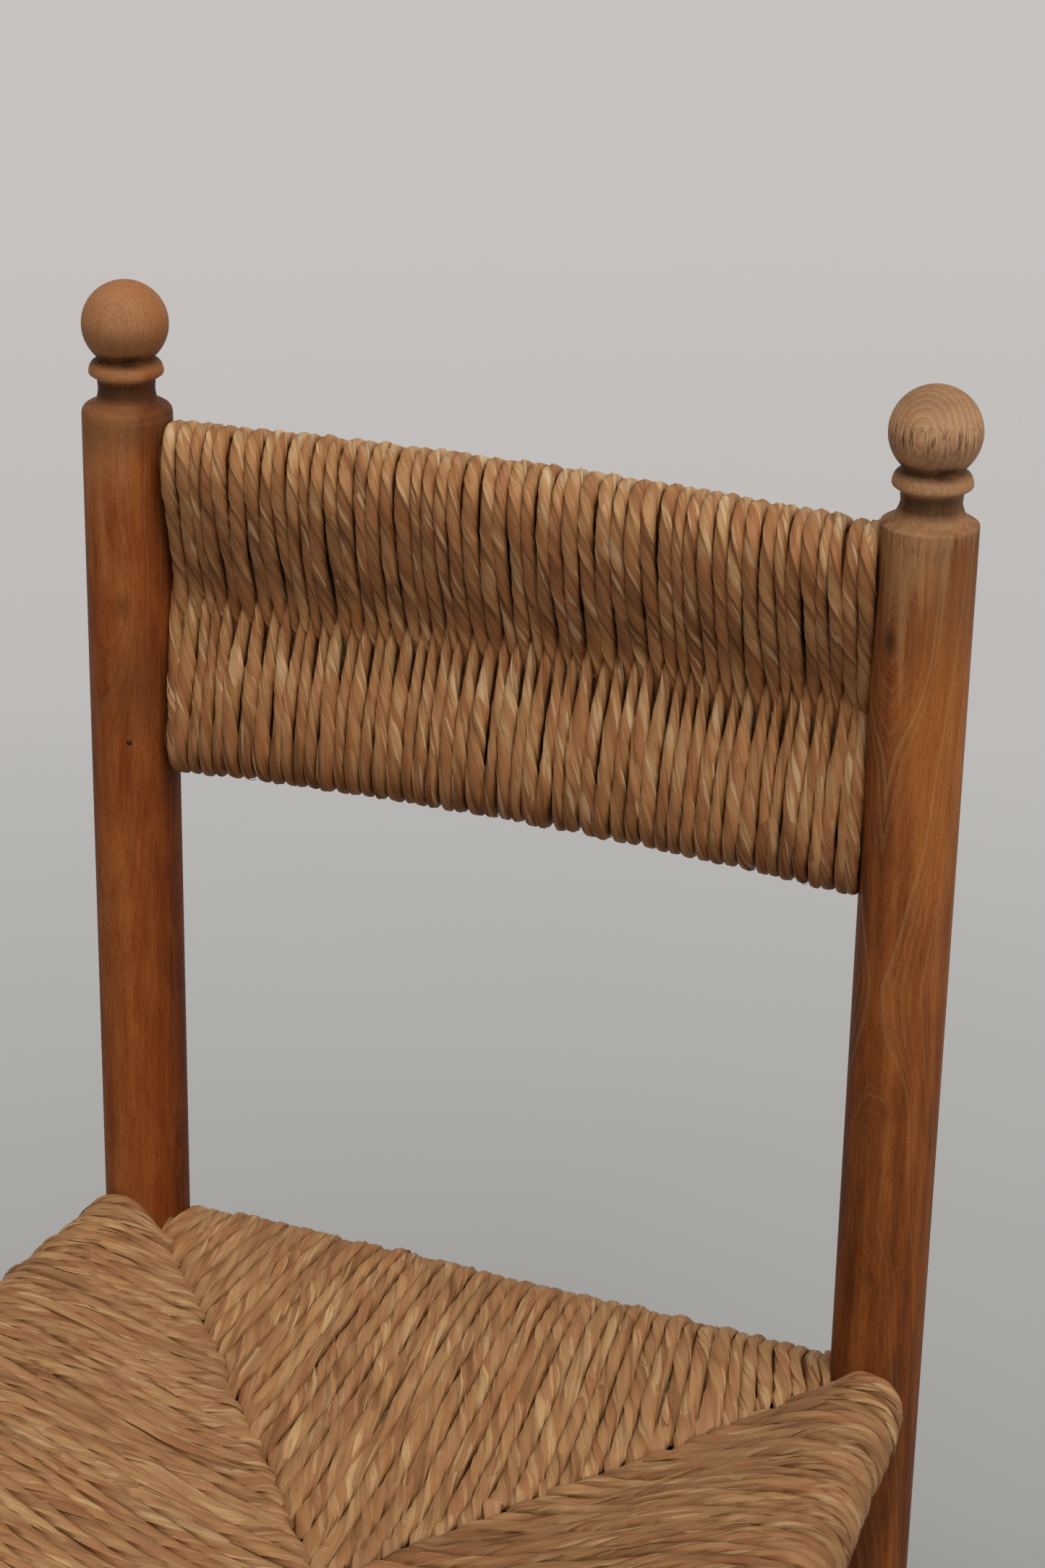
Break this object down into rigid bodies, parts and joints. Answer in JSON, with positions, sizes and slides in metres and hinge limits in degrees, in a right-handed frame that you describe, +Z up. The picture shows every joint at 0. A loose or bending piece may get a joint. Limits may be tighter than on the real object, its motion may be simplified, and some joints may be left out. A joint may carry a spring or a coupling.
{
  "type": "rush-seated side chair",
  "caption": "Wooden side chair with leaning back posts and ball finials, a woven rush seat that dips towards its middle, a woven rush backrest and plain turned stretchers.",
  "frame": {"origin": "on the floor, under the middle of the chair's bounding box", "axes": "+Z up, the chair faces -Y, +X to the viewer's right when looking at its front"},
  "size_m": [0.466, 0.4395, 0.8863],
  "materials": {
    "stained_beech": "worn satin walnut stain with a figured grain",
    "stained_beech_rail": "rough stained bar under the weave",
    "rush": "dry twisted rush, dull with a slight sheen",
    "straw": "packed dry straw",
    "nail_steel": "darkened"
  },
  "bodies": {
    "root": {"back_post_left": "stained_beech", "back_post_right": "stained_beech", "front_leg_left": "stained_beech", "front_leg_right": "stained_beech", "stretcher_front_lower": "stained_beech", "stretcher_front_upper": "stained_beech", "stretcher_left_lower": "stained_beech", "stretcher_left_upper": "stained_beech", "stretcher_right_lower": "stained_beech", "stretcher_right_upper": "stained_beech", "stretcher_back": "stained_beech", "seat_rail_front": "stained_beech_rail", "seat_rail_back": "stained_beech_rail", "seat_rail_left": "stained_beech_rail", "seat_rail_right": "stained_beech_rail", "backrest_rail_upper": "stained_beech_rail", "backrest_rail_lower": "stained_beech_rail", "seat_rush": "rush", "backrest_rush": "rush", "seat_stuffing_back": "straw", "seat_stuffing_left": "straw", "seat_stuffing_front": "straw", "seat_stuffing_right": "straw", "backrest_pin_left": "nail_steel"}
  },
  "joints": []
}
